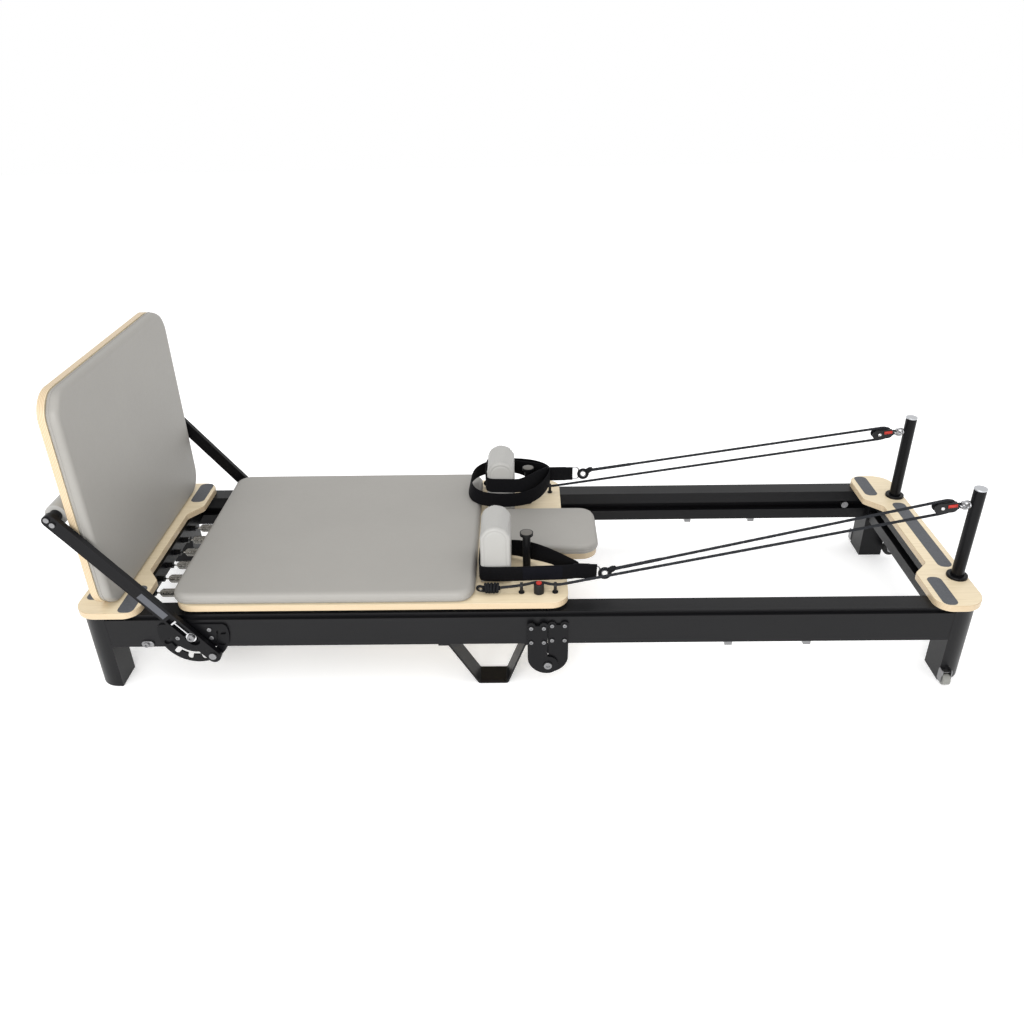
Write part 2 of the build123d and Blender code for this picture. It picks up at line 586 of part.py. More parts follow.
def transport_wheel(side, name):
    """Saves the wheel under one end of the head rail, and gives back its bracket."""
    x, y, z, radius, half = 1219, side * 252, 46, 23, 11
    wheel = fillet(rod_y(x, (y - half, y + half), z, radius).edges(), 3)
    save(f"transport_wheel_{name}", wheel - rod_y(x, (y - half, y + half), z, 4.05))
    outline = make_face(Polyline((1172, RAIL_LOW), (x - 9, z - 6), (x, z - 10), (x + 8, z - 2), (1206, RAIL_LOW),
                                 close=True))
    plates = [extrude(Plane((0, y - half - 1, 0), (1, 0, 0), (0, -1, 0)) * outline, 4),
              extrude(Plane((0, y + half + 5, 0), (1, 0, 0), (0, -1, 0)) * outline, 4)]
    return plates + [rod_y(x, (y - half - 1, y + half + 1), z, 4)]


def floor_roller(side, name):
    """Saves the roller at the foot of one head leg, and gives back its bracket."""
    x, y, z, radius = 1146, side * (FRAME_HALF + 16.5), 16, 15.5
    save(f"floor_roller_{name}", fillet(rod_x((x - 10, x + 10), y, z, radius).edges(), 2)
         - rod_x((x - 10, x + 10), y, z, 3.05))
    inner = side * (FRAME_HALF + 0.2)
    bracket = [rod_x((x - 11, x + 11), y, z, 3)]
    for end in (x - 14, x + 11):
        ear = box((end, end + 3), sorted((inner, side * (FRAME_HALF + 22))), (8, 46))
        bracket.append(fillet(ear.edges().filter_by(Axis.X), 5))
    bracket.append(box((x - 11, x + 11), sorted((inner, side * (FRAME_HALF + 14))), (35, 38)))
    return bracket


def head_wheels():
    """Transport wheels, floor rollers and the stop blocks under the head rails."""
    brackets = []
    for side, name in ((1, "far"), (-1, "near")):
        brackets += transport_wheel(side, name) + floor_roller(side, name)
        for x in (545, 757):
            brackets.append(box((x - 10, x + 10), sorted((side * 300, side * 364)), (RAIL_LOW - 12, RAIL_LOW)))
    save("wheel_brackets", *brackets)


def wrap_corners(ring, cleat_end, pulley):
    """The two corners of the rope's path round a sheave, for a path that turns at PULLEY_WRAP."""
    corners = []
    for end, way in ((ring, 1), (cleat_end, -1)):
        run, rise = pulley[0] - end[0], pulley[2] - end[2]
        angle = atan2(rise, run) + way * atan2(PULLEY_WRAP, sqrt(run ** 2 + rise ** 2 - PULLEY_WRAP ** 2))
        touch_x = pulley[0] - way * PULLEY_WRAP * sin(angle)
        touch_z = pulley[2] + way * PULLEY_WRAP * cos(angle)
        x = pulley[0] + PULLEY_WRAP
        corners.append((x, pulley[1], touch_z + (x - touch_x) * sin(angle) / cos(angle)))
    return corners


def rope(side):
    """One rope: from the strap's eye, round the pulley, back through the cleats to its hank."""
    places = rope_places(side)
    eye = (231.5, -255, 303) if side < 0 else (201.5, 235, 358)
    pulley = (PULLEY_X, side * PULLEY_Y, PULLEY_Z)
    behind = 21.5 if side < 0 else -26
    knob_x, knob_y = places["knob"]
    foot_x, foot_y = places["foot"]
    head_x, head_y = places["head"]
    head_cleat = (head_x, head_y, CLEAT_Z)
    top, bottom = wrap_corners(eye, head_cleat, pulley)
    hank_x, hank_y = places["hank"]
    route = [eye, top, bottom, head_cleat, (knob_x, knob_y + behind, CLEAT_Z), (foot_x, foot_y, CLEAT_Z),
             (hank_x + 32, hank_y + 1, 280)]
    radii = [PULLEY_WRAP - 0.2, PULLEY_WRAP - 0.2, 30, 22, 30]
    path = FilletPolyline(*route, radius=radii)
    section = Plane(path @ 0, z_dir=path % 0) * Circle(ROPE / 2)
    tube = sweep(section, path=path)
    print("rope", side, "length", round(path.length), "volume ratio",
          round(tube.volume / (3.14159 * (ROPE / 2) ** 2 * path.length), 4), "radii", radii)
    return tube


def ropes():
    """Both ropes and the eyes at their strap ends."""
    save("rope_near", rope(-1))
    save("rope_far", rope(1))
    eyes = []
    for x, y, z in ((214, -255, 291), (184, 235, 346)):
        eyes.append(Pos(x, y, z) * Rot(90, 0, 0) * Torus(11, 4) + Pos(x + 8, y, z + 10) * Sphere(9))
    save("rope_eyes", *eyes)


frame()
decks()
fold_hinges()
rail_catches()
footbar()
jump_board()
carriage()
straps()
posts()
pulleys()
head_wheels()
ropes()
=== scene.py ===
"""Looks for the folding pilates reformer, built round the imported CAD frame."""

import math
import random

import bpy
import numpy as np
from mathutils import Matrix, Vector


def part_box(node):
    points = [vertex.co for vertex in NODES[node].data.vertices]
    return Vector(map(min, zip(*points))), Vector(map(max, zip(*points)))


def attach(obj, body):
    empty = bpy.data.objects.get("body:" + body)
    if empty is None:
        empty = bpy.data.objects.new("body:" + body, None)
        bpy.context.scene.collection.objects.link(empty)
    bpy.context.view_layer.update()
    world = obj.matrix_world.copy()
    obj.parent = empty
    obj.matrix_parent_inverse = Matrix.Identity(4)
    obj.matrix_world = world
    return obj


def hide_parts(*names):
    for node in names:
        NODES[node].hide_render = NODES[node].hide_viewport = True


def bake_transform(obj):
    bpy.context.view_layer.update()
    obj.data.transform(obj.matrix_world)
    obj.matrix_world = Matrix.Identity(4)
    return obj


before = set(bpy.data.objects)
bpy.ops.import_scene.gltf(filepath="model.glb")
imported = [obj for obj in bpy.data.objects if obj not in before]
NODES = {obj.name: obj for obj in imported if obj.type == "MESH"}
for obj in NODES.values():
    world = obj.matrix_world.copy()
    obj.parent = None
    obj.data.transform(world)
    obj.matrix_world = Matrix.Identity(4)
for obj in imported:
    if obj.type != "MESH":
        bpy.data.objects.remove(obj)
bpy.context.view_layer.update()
SCENE = bpy.context.scene
WHITE = (1, 1, 1, 1)
PLY_LAYERS = 0.0036


# ---------------------------------------------------------------- camera, light, floor

def add_camera():
    """Camera at the picture's viewpoint: 31 mm lens, looking down about 30 degrees."""
    data = bpy.data.cameras.new("camera")
    data.sensor_width = 36
    data.lens = 30.97
    data.clip_end = 60
    cam = bpy.data.objects.new("camera", data)
    SCENE.collection.objects.link(cam)
    pitch, roll, yaw = 0.5155, -0.01844, 0.01574
    right0 = Vector((math.cos(yaw), math.sin(yaw), 0))
    ahead0 = Vector((-math.sin(yaw), math.cos(yaw), 0))
    up0 = Vector((0, 0, 1))
    view = ahead0 * math.cos(pitch) - up0 * math.sin(pitch)
    up1 = up0 * math.cos(pitch) + ahead0 * math.sin(pitch)
    right = right0 * math.cos(roll) + up1 * math.sin(roll)
    up = up1 * math.cos(roll) - right0 * math.sin(roll)
    turn = Matrix((right, up, -view)).transposed().to_4x4()
    cam.matrix_world = Matrix.Translation((-0.00492, -2.27032, 1.62809)) @ turn
    SCENE.camera = cam


def add_area(name, place, target, size, power):
    """A soft square light that points at a target."""
    data = bpy.data.lights.new(name, "AREA")
    data.shape = "RECTANGLE"
    data.size, data.size_y = size
    data.energy = power
    obj = bpy.data.objects.new(name, data)
    obj.location = place
    obj.rotation_euler = (Vector(target) - Vector(place)).to_track_quat("-Z", "Y").to_euler()
    SCENE.collection.objects.link(obj)


def add_studio():
    """White world, large soft lights and a plain pale floor."""
    world = bpy.data.worlds.new("studio")
    world.use_nodes = True
    world.node_tree.nodes["Background"].inputs["Color"].default_value = WHITE
    world.node_tree.nodes["Background"].inputs["Strength"].default_value = 1.0
    SCENE.world = world
    SCENE.view_settings.view_transform = "Standard"
    add_area("front", (-0.9, -3.7, 1.9), (0.1, 0, 0.2), (3.4, 1.6), 112)
    add_area("top", (0.6, 0.4, 3.4), (0.2, 0, 0.2), (3.0, 1.6), 22)
    floor = mesh_object("floor", [(-9, -9, 0), (9, -9, 0), (9, 9, 0), (-9, 9, 0)], [(0, 1, 2, 3)], FLOOR)


# ---------------------------------------------------------------- materials

def new_material(name, color, rough, metallic=0.0, **sockets):
    """A Principled material, and the node helpers to add detail to it."""
    mat = bpy.data.materials.new(name)
    mat.use_nodes = True
    shader = mat.node_tree.nodes["Principled BSDF"]
    shader.inputs["Base Color"].default_value = (*color, 1)
    shader.inputs["Roughness"].default_value = rough
    shader.inputs["Metallic"].default_value = metallic
    for socket, value in sockets.items():
        shader.inputs[socket.replace("_", " ")].default_value = value
    return mat


def node(mat, kind, **values):
    """Adds a node; values are properties, or inputs by name."""
    made = mat.node_tree.nodes.new(kind)
    for key, value in values.items():
        if hasattr(made, key) and key not in made.inputs:
            setattr(made, key, value)
        else:
            made.inputs[key.replace("_", " ")].default_value = value
    return made


def link(mat, source, target):
    mat.node_tree.links.new(source, target)


def shader_of(mat):
    return mat.node_tree.nodes["Principled BSDF"]


def coordinates(mat, stretch=(1, 1, 1)):
    """Object coordinates, stretched."""
    place = node(mat, "ShaderNodeTexCoord")
    mapping = node(mat, "ShaderNodeMapping")
    mapping.inputs["Scale"].default_value = stretch
    link(mat, place.outputs["Object"], mapping.inputs["Vector"])
    return mapping.outputs["Vector"]


def noise(mat, scale, detail=4, rough=0.55, stretch=(1, 1, 1)):
    made = node(mat, "ShaderNodeTexNoise", Scale=scale, Detail=detail, Roughness=rough)
    link(mat, coordinates(mat, stretch), made.inputs["Vector"])
    return made.outputs["Fac"]


def ramp(mat, source, stops):
    """Colour ramp from (place, colour) stops."""
    made = node(mat, "ShaderNodeValToRGB")
    points = made.color_ramp.elements
    while len(points) < len(stops):
        points.new(0.5)
    for point, (place, color) in zip(points, stops):
        point.position = place
        point.color = (*color, 1) if len(color) == 3 else color
    link(mat, source, made.inputs["Fac"])
    return made.outputs["Color"]


def shade(color, factor):
    return tuple(c * factor for c in color)


def tint(mat, source, color, spread):
    """Varies the base colour by a share of itself."""
    mixed = ramp(mat, source, [(0.3, shade(color, 1 - spread)), (0.7, shade(color, 1 + spread))])
    link(mat, mixed, shader_of(mat).inputs["Base Color"])


def roughen(mat, source, low, high):
    mapped = node(mat, "ShaderNodeMapRange")
    mapped.inputs["To Min"].default_value = low
    mapped.inputs["To Max"].default_value = high
    link(mat, source, mapped.inputs["Value"])
    link(mat, mapped.outputs["Result"], shader_of(mat).inputs["Roughness"])


def bump(mat, source, strength, distance, after=None):
    made = node(mat, "ShaderNodeBump", Strength=strength, Distance=distance)
    link(mat, source, made.inputs["Height"])
    if after is not None:
        link(mat, after.outputs["Normal"], made.inputs["Normal"])
    link(mat, made.outputs["Normal"], shader_of(mat).inputs["Normal"])
    return made


def powder_coat(name, color, rough, gloss):
    """Fine-textured powder coat on metal."""
    mat = new_material(name, color, rough, Specular_IOR_Level=gloss)
    bump(mat, noise(mat, 1400, 2), 0.25, 0.0002)
    roughen(mat, noise(mat, 9, 3), rough - 0.05, rough + 0.08)
    tint(mat, noise(mat, 5, 2), color, 0.08)
    return mat


def vinyl(name, color, grain=900, rough=0.46):
    """Grained upholstery vinyl with a soft sheen."""
    mat = new_material(name, color, rough, Specular_IOR_Level=0.38, Sheen_Weight=0.03, Sheen_Roughness=0.5)
    pebble = node(mat, "ShaderNodeTexVoronoi", Scale=grain, feature="SMOOTH_F1")
    link(mat, coordinates(mat), pebble.inputs["Vector"])
    first = bump(mat, pebble.outputs["Distance"], 0.35, 0.0004)
    bump(mat, noise(mat, 45, 5), 0.08, 0.002, first)
    tint(mat, noise(mat, 3.5, 3), color, 0.025)
    roughen(mat, noise(mat, 60, 4), rough - 0.05, rough + 0.07)
    return mat


def birch(name, axis):
    """Birch ply: pale face grain, and thin layers on the edges. axis is the board's thickness."""
    mat = new_material(name, (0.80, 0.66, 0.45), 0.42, Specular_IOR_Level=0.45, Coat_Weight=0.15)
    stretch = (1.2, 14, 14) if axis == "Z" else (14, 14, 1.2)
    grain = noise(mat, 9, 8, 0.62, stretch)
    face = ramp(mat, grain, [(0.25, (0.61, 0.505, 0.335)), (0.5, (0.69, 0.58, 0.40)),
                             (0.8, (0.74, 0.635, 0.46))])
    place = node(mat, "ShaderNodeTexCoord")
    split = node(mat, "ShaderNodeSeparateXYZ")
    link(mat, place.outputs["Object"], split.inputs["Vector"])
    depth = node(mat, "ShaderNodeMath", operation="MULTIPLY")
    depth.inputs[1].default_value = 1 / PLY_LAYERS
    link(mat, split.outputs[axis], depth.inputs[0])
    wobble = node(mat, "ShaderNodeMath", operation="MULTIPLY_ADD")
    link(mat, noise(mat, 30, 3), wobble.inputs[0])
    wobble.inputs[1].default_value = 0.25
    link(mat, depth.outputs[0], wobble.inputs[2])
    part = node(mat, "ShaderNodeMath", operation="FRACT")
    link(mat, wobble.outputs[0], part.inputs[0])
    layers = ramp(mat, part.outputs[0], [(0.0, (0.60, 0.49, 0.34)), (0.60, (0.57, 0.455, 0.30)),
                                         (0.68, (0.36, 0.25, 0.13)), (0.92, (0.39, 0.275, 0.15)),
                                         (1.0, (0.60, 0.49, 0.34))])
    facing = node(mat, "ShaderNodeSeparateXYZ")
    link(mat, place.outputs["Normal"], facing.inputs["Vector"])
    flat = node(mat, "ShaderNodeMath", operation="ABSOLUTE")
    link(mat, facing.outputs[axis], flat.inputs[0])
    mask = node(mat, "ShaderNodeMapRange")
    mask.inputs["From Min"].default_value = 0.80
    mask.inputs["From Max"].default_value = 0.92
    link(mat, flat.outputs[0], mask.inputs["Value"])
    mix = node(mat, "ShaderNodeMix", data_type="RGBA")
    link(mat, mask.outputs["Result"], mix.inputs["Factor"])
    link(mat, layers, mix.inputs["A"])
    link(mat, face, mix.inputs["B"])
    link(mat, mix.outputs[2], shader_of(mat).inputs["Base Color"])
    bump(mat, grain, 0.12, 0.0005)
    roughen(mat, grain, 0.36, 0.5)
    return mat


def ribbed_rubber(name, color, pitch=0.004):
    """Grip rubber with fine ribs and a matte face."""
    mat = new_material(name, color, 0.62, Specular_IOR_Level=0.35)
    ribs = node(mat, "ShaderNodeTexWave", Scale=1 / (pitch * 20), Distortion=0.0, wave_type="BANDS",
                bands_direction="Y")
    link(mat, coordinates(mat, (20, 20, 20)), ribs.inputs["Vector"])
    first = bump(mat, ribs.outputs["Fac"], 0.25, 0.0006)
    bump(mat, noise(mat, 1800, 3), 0.35, 0.0004, first)
    tint(mat, noise(mat, 260, 4), color, 0.16)
    return mat


def metal(name, color, rough, grain=0):
    """Plated or brushed metal; grain stretches the scratches."""
    mat = new_material(name, color, rough, 1.0)
    stretch = (1, 1, grain) if grain else (1, 1, 1)
    marks = noise(mat, 160, 5, 0.6, stretch)
    roughen(mat, marks, rough * 0.7, rough * 1.5)
    bump(mat, marks, 0.05, 0.0003)
    return mat


def plastic(name, color, rough=0.5, texture=1200):
    """Moulded plastic with a fine spark-eroded texture."""
    mat = new_material(name, color, rough, Specular_IOR_Level=0.25)
    bump(mat, noise(mat, texture, 2), 0.2, 0.0002)
    roughen(mat, noise(mat, 40, 3), rough - 0.06, rough + 0.08)
    return mat


def woven(name, color, pitch=0.0016):
    """Webbing or braid: crossed threads as bump and colour."""
    mat = new_material(name, color, 0.72, Specular_IOR_Level=0.08, Sheen_Weight=0.01, Sheen_Roughness=0.4)
    turned = node(mat, "ShaderNodeMapping")
    place = node(mat, "ShaderNodeTexCoord")
    link(mat, place.outputs["UV"], turned.inputs["Vector"])
    check = []
    for direction in ("X", "Y"):
        threads = node(mat, "ShaderNodeTexWave", Scale=0.314 / pitch, wave_type="BANDS",
                       bands_direction=direction)
        threads.inputs["Distortion"].default_value = 0.4
        threads.inputs["Detail Scale"].default_value = 2
        link(mat, turned.outputs["Vector"], threads.inputs["Vector"])
        check.append(threads.outputs["Fac"])
    weave = node(mat, "ShaderNodeMath", operation="MAXIMUM")
    link(mat, check[0], weave.inputs[0])
    link(mat, check[1], weave.inputs[1])
    bump(mat, weave.outputs[0], 0.5, 0.0006)
    colors = ramp(mat, weave.outputs[0], [(0.2, shade(color, 0.55)), (0.9, shade(color, 1.35))])
    link(mat, colors, shader_of(mat).inputs["Base Color"])
    return mat


def floor_material():
    """Matte white with a faint glow of its own, so the floor meets the white world without an edge."""
    mat = new_material("floor_white", (0.93, 0.93, 0.93), 0.8, Specular_IOR_Level=0.1, Emission_Color=WHITE,
                       Emission_Strength=0.28)
    bump(mat, noise(mat, 30, 3), 0.02, 0.001)
    return mat


FLOOR = floor_material()
RAIL = powder_coat("rail_black", (0.0045, 0.0045, 0.0052), 0.36, 0.20)
STEEL = powder_coat("steel_black", (0.0035, 0.0035, 0.0042), 0.30, 0.15)
BIRCH = birch("birch_flat", "Z")
BIRCH_UPRIGHT = birch("birch_upright", "X")
GRIP = ribbed_rubber("grip_rubber", (0.082, 0.086, 0.095))
VINYL = vinyl("vinyl_grey", (0.272, 0.262, 0.243))
VINYL_LIGHT = vinyl("vinyl_light", (0.345, 0.34, 0.325), 800, 0.42)
CHROME = metal("chrome_plate", (0.60, 0.60, 0.61), 0.16)
BOLT = metal("bolt_steel", (0.24, 0.24, 0.245), 0.30)
ZINC = metal("zinc_wire", (0.30, 0.29, 0.27), 0.26)
RING = metal("ring_nickel", (0.34, 0.34, 0.35), 0.22)
SILVER = metal("silver_cap", (0.52, 0.53, 0.55), 0.30, 8)
PLASTIC = plastic("black_plastic", (0.007, 0.007, 0.008), 0.42)
PALE_PLASTIC = plastic("grey_nylon", (0.22, 0.22, 0.205), 0.45)
RED = plastic("red_plastic", (0.42, 0.028, 0.020), 0.28, 300)
TYRE = plastic("roller_rubber", (0.010, 0.010, 0.010), 0.6, 500)
WEB = woven("webbing_black", (0.0028, 0.0028, 0.0036), 0.0020)
WEB_PATCH = woven("webbing_patch", (0.0040, 0.0043, 0.0070), 0.0010)
ROPE = woven("rope_braid", (0.018, 0.019, 0.022), 0.0026)
PEG_TOP = plastic("peg_top_grey", (0.105, 0.098, 0.088), 0.35)
LABEL = plastic("label_grey", (0.075, 0.078, 0.088), 0.5, 200)


def dress(mat, *names):
    """Gives CAD nodes a material."""
    for name in names:
        data = NODES[name].data
        data.materials.clear()
        data.materials.append(mat)


def both(stem):
    return [stem + "_near", stem + "_far"]


# ---------------------------------------------------------------- mesh helpers

def mesh_object(name, points, faces, *mats, uv=None, smooth=False):
    """A mesh object from points and faces."""
    data = bpy.data.meshes.new(name)
    data.from_pydata([tuple(p) for p in points], [], [tuple(f) for f in faces])
    for mat in mats:
        data.materials.append(mat)
    if uv is not None:
        layer = data.uv_layers.new(name="UVMap")
        loops = [uv[v] for face in faces for v in face]
        layer.data.foreach_set("uv", np.array(loops, np.float32).ravel())
    if smooth:
        data.polygons.foreach_set("use_smooth", [True] * len(data.polygons))
    data.update()
    obj = bpy.data.objects.new(name, data)
    SCENE.collection.objects.link(obj)
    return obj


def stand_for(obj, body, slot, *nodes):
    """The piece rides on a body and stands for CAD nodes, which are hidden. The slot argument is not used."""
    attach(obj, body)
    if nodes:
        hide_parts(*nodes)
    return obj


def ring_faces(rings, count):
    """Quads between successive rings of count points each."""
    faces = []
    for r in range(rings - 1):
        for i in range(count):
            j = (i + 1) % count
            faces.append((r * count + i, r * count + j, (r + 1) * count + j, (r + 1) * count + i))
    return faces


def rounded_outline(half_x, half_y, corner, per_corner=10, per_side=16):
    """Points round a rectangle with rounded corners; the same number for any size."""
    points = []
    corners = [(1, 1, 0), (-1, 1, 90), (-1, -1, 180), (1, -1, 270)]
    for n, (sx, sy, start) in enumerate(corners):
        cx, cy = sx * (half_x - corner), sy * (half_y - corner)
        for k in range(per_corner + 1):
            a = math.radians(start + 90 * k / per_corner)
            points.append(Vector((cx + corner * math.cos(a), cy + corner * math.sin(a))))
        nx, ny, nstart = corners[(n + 1) % 4]
        goal = Vector((nx * (half_x - corner) + corner * math.cos(math.radians(nstart)),
                       ny * (half_y - corner) + corner * math.sin(math.radians(nstart))))
        here = points[-1].copy()
        points += [here.lerp(goal, k / per_side) for k in range(1, per_side)]
    return points


def cushion(name, size, corner, thick, edge, crown, place, turn, mat, tuck=0.002, seed=1):
    """A crowned upholstered pad: its sides roll in to the board below, and its corners pucker a little.

    size is the full (x, y) of its plan and edge the radius of its upper edge.
    It is built flat and then placed."""
    half_x, half_y = size[0] / 2, size[1] / 2
    rng = random.Random(seed)
    phase = [rng.uniform(0, 6.28) for _ in range(6)]
    profile = [(tuck + 0.010, 0.0), (tuck + 0.002, 0.0), (tuck, 0.0010), (tuck * 0.3, thick * 0.16),
               (0.0, thick * 0.26), (0.0003, thick * 0.285), (-0.0019, thick * 0.30), (-0.0019, thick * 0.33),
               (0.0003, thick * 0.345),
               (-0.0006, thick * 0.42)]
    rise = thick - edge
    for k in range(0, 7):
        a = math.radians(90 * k / 6)
        profile.append((edge * (1 - math.cos(a)) - 0.0004, rise + edge * math.sin(a)))
    points = []

    def add_ring(ring, height, side):
        for p in ring:
            away = Vector((half_x - abs(p.x), half_y - abs(p.y))).length
            near_corner = max(0.0, 1 - away / (corner * 1.6))
            angle = math.atan2(p.y, p.x)
            ripple = math.sin(38 * angle + phase[0]) * math.sin(17 * angle + phase[1])
            swell = 1 + side * near_corner * 0.0025 * ripple / max(half_x, half_y)
            slack = 0 if side else 0.0005 * math.sin(9 * p.x + phase[2]) * math.sin(7 * p.y + phase[3])
            points.append((p.x * swell, p.y * swell, height + slack))

    for inset, height in profile:
        ring = rounded_outline(half_x - inset, half_y - inset, max(corner - inset, 0.004))
        add_ring(ring, height, 1 if height < thick * 0.9 else 0.4)
    rim = rounded_outline(half_x - edge, half_y - edge, max(corner - edge, 0.004))
    for k in range(1, 15):
        scale = 1 - 0.97 * (k / 14) ** 1.4
        add_ring([p * scale for p in rim], thick + crown * (1 - scale * scale), 0)
    count = len(rim)
    faces = ring_faces(len(points) // count, count)
    faces.append(tuple(reversed(range(count))))
    faces.append(tuple(range(len(points) - count, len(points))))
    obj = mesh_object(name, points, faces, mat, smooth=True)
    obj.data.transform(Matrix.Translation(place) @ turn.to_4x4())
    sub = obj.modifiers.new("smooth", "SUBSURF")
    sub.levels = sub.render_levels = 1
    return obj


def spline_points(route, steps=40):
    """Points along a smooth NURBS line through the air near the route's points."""
    data = bpy.data.curves.new("route", "CURVE")
    data.dimensions = "3D"
    data.resolution_u = steps
    line = data.splines.new("NURBS")
    line.points.add(len(route) - 1)
    for point, place in zip(line.points, route):
        point.co = (*place, 1)
    line.order_u = 3
    line.use_endpoint_u = True
    obj = bpy.data.objects.new("route", data)
    SCENE.collection.objects.link(obj)
    mesh = bpy.data.meshes.new_from_object(obj)
    points = [v.co.copy() for v in mesh.vertices]
    bpy.data.objects.remove(obj)
    bpy.data.meshes.remove(mesh)
    return points


def even_points(points, gap, closed=False):
    """The same line with points a fixed gap apart."""
    line = np.array([tuple(p) for p in points], float)
    if closed:
        line = np.vstack([line, line[:1]])
    along = np.concatenate([[0], np.cumsum(np.linalg.norm(np.diff(line, axis=0), axis=1))])
    count = max(4, int(round(along[-1] / gap)))
    goal = np.linspace(0, along[-1], count + 1)
    if closed:
        goal = goal[:-1]
    return [Vector(p) for p in np.stack([np.interp(goal, along, line[:, k]) for k in range(3)], 1)]


def frames_along(points, closed=False):
    """Tangent, side and up at each point, turning as little as possible."""
    count = len(points)
    tangents = []
    for i in range(count):
        a = points[(i - 1) % count] if closed or i else points[i]
        b = points[(i + 1) % count] if closed or i < count - 1 else points[i]
        tangents.append((b - a).normalized())
    side = tangents[0].cross(Vector((0, 0, 1)))
    side = (side if side.length > 0.1 else tangents[0].cross(Vector((0, 1, 0)))).normalized()
    found = []
    for t in tangents:
        side = (side - t * side.dot(t)).normalized()
        found.append((t, side, side.cross(t).normalized()))
    return found


def rope_tube(name, points, radius, mat, splice, around=16, strands=4, lay=0.030, depth=0.10):
    """A braided rope's surface round a line: crossing strands stand proud. It is thicker up to the splice."""
    rings, uv = [], []
    travelled = 0.0
    frames = frames_along(points)
    for i, (p, (_, side, up)) in enumerate(zip(points, frames)):
        travelled += (p - points[i - 1]).length if i else 0
        twist = travelled / lay * 2 * math.pi
        thicker = 1 + 0.22 * min(1.0, max(0.0, (splice - travelled) / 0.008))
        for k in range(around):
            a = 2 * math.pi * k / around
            braid = max(math.cos(strands * a + twist), math.cos(strands * a - twist))
            r = radius * (1 - depth + depth * braid) * thicker
            rings.append(p + side * (r * math.cos(a)) + up * (r * math.sin(a)))
            uv.append((travelled, a * radius))
    faces = ring_faces(len(points), around)
    faces.append(tuple(reversed(range(around))))
    faces.append(tuple(range(len(rings) - around, len(rings))))
    return mesh_object(name, rings, faces, mat, uv=uv, smooth=True)


def merged(name, parts, *mats):
    """One mesh from several (points, faces, material index) parts."""
    points, faces, index = [], [], []
    for part in parts:
        base = len(points)
        points += [tuple(p) for p in part[0]]
        faces += [tuple(base + v for v in f) for f in part[1]]
        index += [part[2] if len(part) > 2 else 0] * len(part[1])
    obj = mesh_object(name, points, faces, *mats, smooth=True)
    obj.data.polygons.foreach_set("material_index", index)
    obj.data.update()
    return obj


def tube_part(points, radius, around=12, closed=False, mat=0):
    """Points and faces of a plain tube along a line; radius may be a list."""
    radii = radius if isinstance(radius, list) else [radius] * len(points)
    found = []
    for p, r, (_, side, up) in zip(points, radii, frames_along(points, closed)):
        for k in range(around):
            a = 2 * math.pi * k / around
            found.append(p + side * (r * math.cos(a)) + up * (r * math.sin(a)))
    faces = ring_faces(len(points), around)
    n = len(points)
    if closed:
        start = [(n - 1) * around + k for k in range(around)]
        faces += [(start[k], start[(k + 1) % around], (k + 1) % around, k) for k in range(around)]
    else:
        faces.append(tuple(reversed(range(around))))
        faces.append(tuple(range((n - 1) * around, n * around)))
    return found, faces, mat


def turned_part(centre, axis, profile, around=32, mat=0):
    """A solid of revolution about an axis; profile is (distance along, radius) pairs."""
    axis = Vector(axis).normalized()
    side = axis.orthogonal().normalized()
    up = axis.cross(side)
    found = []
    for along, radius in profile:
        for k in range(around):
            a = 2 * math.pi * k / around
            spoke = side * (radius * math.cos(a)) + up * (radius * math.sin(a))
            found.append(Vector(centre) + axis * along + spoke)
    faces = ring_faces(len(profile), around)
    faces.append(tuple(reversed(range(around))))
    faces.append(tuple(range((len(profile) - 1) * around, len(profile) * around)))
    return found, faces, mat


def circle(centre, axis, radius, count=32):
    """Points round a circle."""
    axis = Vector(axis).normalized()
    side = axis.orthogonal().normalized()
    up = axis.cross(side)
    return [Vector(centre) + side * (radius * math.cos(2 * math.pi * k / count))
            + up * (radius * math.sin(2 * math.pi * k / count)) for k in range(count)]


# ---------------------------------------------------------------- ropes

NEAR_ROUTE = [(0.2315, -0.255, 0.303), (1.073, -0.2343, 0.4882), (1.125, -0.233, 0.4996),
              (1.125, -0.233, 0.4599), (1.071, -0.2367, 0.4509), (0.125, -0.3017, 0.2940),
              (0.077, -0.305, 0.286), (0.033, -0.2835, 0.286), (-0.014, -0.305, 0.286),
              (-0.070, -0.304, 0.280)]
FAR_ROUTE = [(0.2015, 0.235, 0.358), (1.073, 0.2331, 0.4902), (1.125, 0.233, 0.4981), (1.125, 0.233, 0.4599),
             (1.071, 0.2347, 0.4509), (0.128, 0.2635, 0.2940), (0.080, 0.265, 0.286), (0.033, 0.268, 0.286),
             (-0.014, 0.302, 0.286), (-0.070, 0.305, 0.280)]
ROPE_DIAMETER = 0.008


def add_rope(side, route):
    """One rope: a braided tube along its route."""
    line = even_points(spline_points(route), 0.003)
    rope = rope_tube("rope_" + side + "_braid", line, ROPE_DIAMETER / 2, ROPE, 0.14)
    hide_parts("rope_" + side)
    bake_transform(rope)


# ---------------------------------------------------------------- pads and rests

